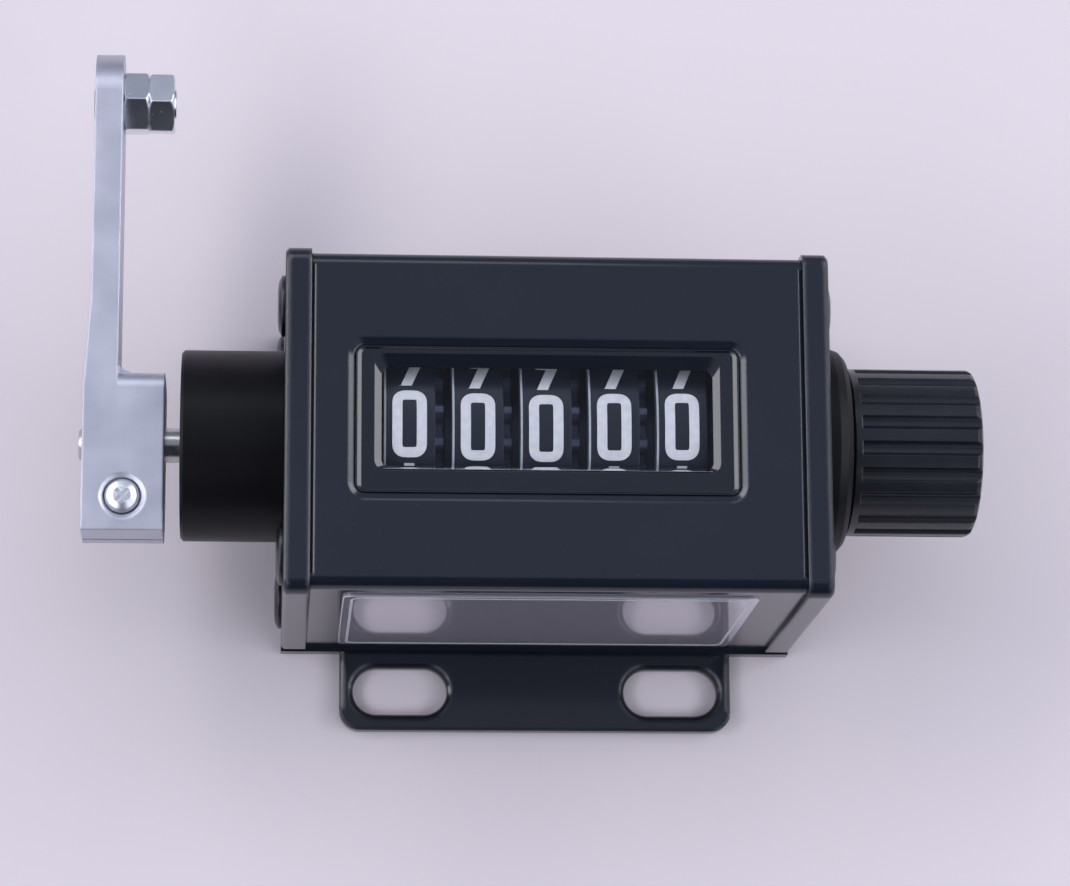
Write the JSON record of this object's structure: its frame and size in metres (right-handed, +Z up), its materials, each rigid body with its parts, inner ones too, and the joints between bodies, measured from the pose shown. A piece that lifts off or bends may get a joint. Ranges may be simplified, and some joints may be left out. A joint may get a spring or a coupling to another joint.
{
  "type": "mechanical lever counter",
  "caption": "Black mechanical counter with number wheels behind a window, a sprung lever that counts strokes, a ribbed reset knob and a slotted mounting foot.",
  "frame": {"origin": "on the mounting plane under the base plate, straight below the wheel axle and midway between the end plates", "axes": "+X along the wheel axle toward the reset knob, +Y away from the foot tab (the way the lever points at rest), +Z up out of the window"},
  "size_m": [0.1094, 0.0804, 0.044],
  "materials": {
    "black_paint": "semi-gloss black enamel",
    "black_plastic": "satin black moulded plastic",
    "wheel_plastic": "satin black with white digits",
    "pinion_plastic": "natural moulded plastic",
    "steel": "bright turned steel",
    "zinc_plate": "bluish zinc plate",
    "brass": "plain turned brass",
    "clear_lens": "clear moulded lens"
  },
  "bodies": {
    "case": {"base_plate": "black_paint", "base_screws": "steel", "case_cover": "black_paint", "left_end_plate": "black_paint", "right_end_plate": "black_paint", "left_plate_screws": "black_paint", "right_plate_screws": "black_paint", "tie_posts": "steel", "window_frame": "black_plastic", "window_lens": "clear_lens", "drive_housing": "black_plastic", "housing_screws": "steel", "outer_bush": "brass", "inner_bush": "brass", "return_spring": "steel", "click_spring": "steel", "click_screw": "steel", "axle_bush": "brass", "reset_collar": "black_plastic", "pinion_axle": "steel"},
    "lever_unit": {"drive_shaft": "steel", "spring_collar": "steel", "shaft_clip": "steel", "drive_yoke": "steel", "yoke_pin": "steel", "drive_pawl": "steel", "lever": "zinc_plate", "lever_clamp_screw": "zinc_plate", "lever_stud": "steel", "stud_nuts": "steel"},
    "reset_unit": {"wheel_axle": "steel", "axle_clips": "steel", "reset_knob": "black_plastic", "knob_grub_screw": "steel"},
    "wheel_unit_10000": {"wheel_10000": "wheel_plastic"},
    "wheel_unit_1000": {"wheel_1000": "wheel_plastic"},
    "wheel_unit_100": {"wheel_100": "wheel_plastic"},
    "wheel_unit_10": {"wheel_10": "wheel_plastic"},
    "wheel_unit_1": {"wheel_1": "wheel_plastic"},
    "pinion_unit_10000": {"pinion_10000": "pinion_plastic"},
    "pinion_unit_1000": {"pinion_1000": "pinion_plastic"},
    "pinion_unit_100": {"pinion_100": "pinion_plastic"},
    "pinion_unit_10": {"pinion_10": "pinion_plastic"}
  },
  "joints": [
    {"name": "lever_swing", "type": "hinge", "parent": "case", "child": "lever_unit", "pos_m": [0, 0, 0.0274], "axis": [1, 0, 0], "range_deg": [0, 40], "stiffness_Nm_per_rad": 0.06, "springref_deg": -20.05, "deforming": ["return_spring", "drive_pawl"]},
    {"name": "reset_turn", "type": "hinge", "parent": "case", "child": "reset_unit", "pos_m": [0, 0, 0.0274], "axis": [1, 0, 0], "continuous": true},
    {"name": "wheel_10000_turn", "type": "hinge", "parent": "case", "child": "wheel_unit_10000", "pos_m": [0, 0, 0.0274], "axis": [1, 0, 0], "continuous": true},
    {"name": "wheel_1000_turn", "type": "hinge", "parent": "case", "child": "wheel_unit_1000", "pos_m": [0, 0, 0.0274], "axis": [1, 0, 0], "continuous": true},
    {"name": "wheel_100_turn", "type": "hinge", "parent": "case", "child": "wheel_unit_100", "pos_m": [0, 0, 0.0274], "axis": [1, 0, 0], "continuous": true},
    {"name": "wheel_10_turn", "type": "hinge", "parent": "case", "child": "wheel_unit_10", "pos_m": [0, 0, 0.0274], "axis": [1, 0, 0], "continuous": true},
    {"name": "wheel_1_turn", "type": "hinge", "parent": "case", "child": "wheel_unit_1", "pos_m": [0, 0, 0.0274], "axis": [1, 0, 0], "continuous": true, "deforming": ["click_spring", "drive_pawl"]},
    {"name": "pinion_10000_turn", "type": "hinge", "parent": "case", "child": "pinion_unit_10000", "pos_m": [0, 0, 0.0106], "axis": [1, 0, 0], "continuous": true},
    {"name": "pinion_1000_turn", "type": "hinge", "parent": "case", "child": "pinion_unit_1000", "pos_m": [0, 0, 0.0106], "axis": [1, 0, 0], "continuous": true},
    {"name": "pinion_100_turn", "type": "hinge", "parent": "case", "child": "pinion_unit_100", "pos_m": [0, 0, 0.0106], "axis": [1, 0, 0], "continuous": true},
    {"name": "pinion_10_turn", "type": "hinge", "parent": "case", "child": "pinion_unit_10", "pos_m": [0, 0, 0.0106], "axis": [1, 0, 0], "continuous": true}
  ],
  "couplings": [
    {"joint": "pinion_10000_turn", "follows": "wheel_10000_turn", "ratio": -2.5},
    {"joint": "pinion_1000_turn", "follows": "wheel_1000_turn", "ratio": -2.5},
    {"joint": "pinion_100_turn", "follows": "wheel_100_turn", "ratio": -2.5},
    {"joint": "pinion_10_turn", "follows": "wheel_10_turn", "ratio": -2.5}
  ]
}
